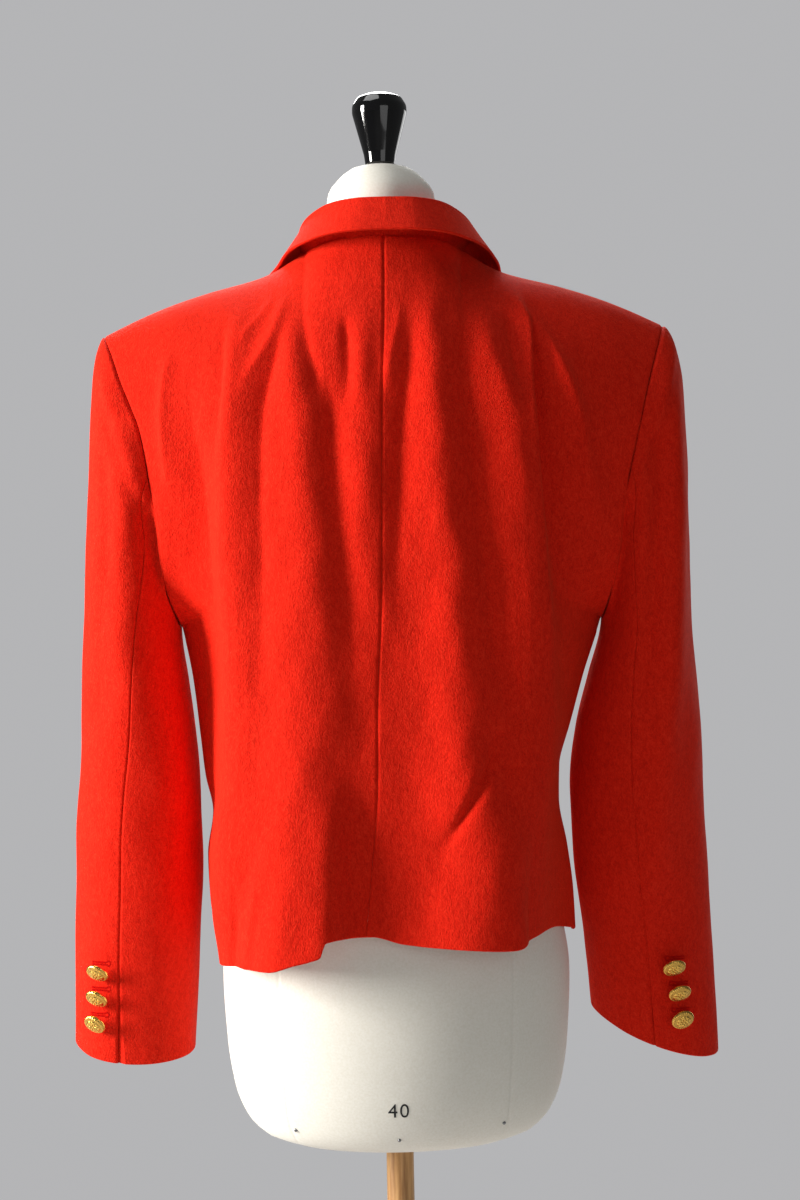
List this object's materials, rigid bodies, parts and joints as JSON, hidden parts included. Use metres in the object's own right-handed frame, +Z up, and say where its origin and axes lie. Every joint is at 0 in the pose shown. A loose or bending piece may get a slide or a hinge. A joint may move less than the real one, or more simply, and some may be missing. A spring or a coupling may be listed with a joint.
{
  "type": "blazer on a dress form",
  "caption": "Cropped, padded-shoulder red wool blazer with a turned collar and gold cuff buttons, hanging closed on a limbless linen dress form with a turned finial, on a pole and round base.",
  "frame": {"origin": "on the floor, under the middle of the form's pole", "axes": "+Z up, +Y the way the blazer's back faces, +X the wearer's left"},
  "size_m": [0.5999, 0.4, 1.586],
  "materials": {
    "red_wool": "matt, napped wool",
    "form_linen": "matt, tight plain weave",
    "gold_button": "polished, gold coloured",
    "black_lacquer": "turned wood in gloss black lacquer",
    "beech": "satin, clear lacquer"
  },
  "bodies": {
    "root": {"back_left": "red_wool", "back_right": "red_wool", "front_left": "red_wool", "front_right": "red_wool", "lapel_left": "red_wool", "lapel_right": "red_wool", "collar": "red_wool", "sleeve_left_top": "red_wool", "sleeve_left_under": "red_wool", "sleeve_right_top": "red_wool", "sleeve_right_under": "red_wool", "cuff_button_left_1": "gold_button", "cuff_button_left_2": "gold_button", "cuff_button_left_3": "gold_button", "cuff_button_right_1": "gold_button", "cuff_button_right_2": "gold_button", "cuff_button_right_3": "gold_button", "front_button_1": "gold_button", "front_button_2": "gold_button", "dress_form": "form_linen", "finial": "black_lacquer", "pole": "beech", "base": "beech"}
  },
  "joints": []
}
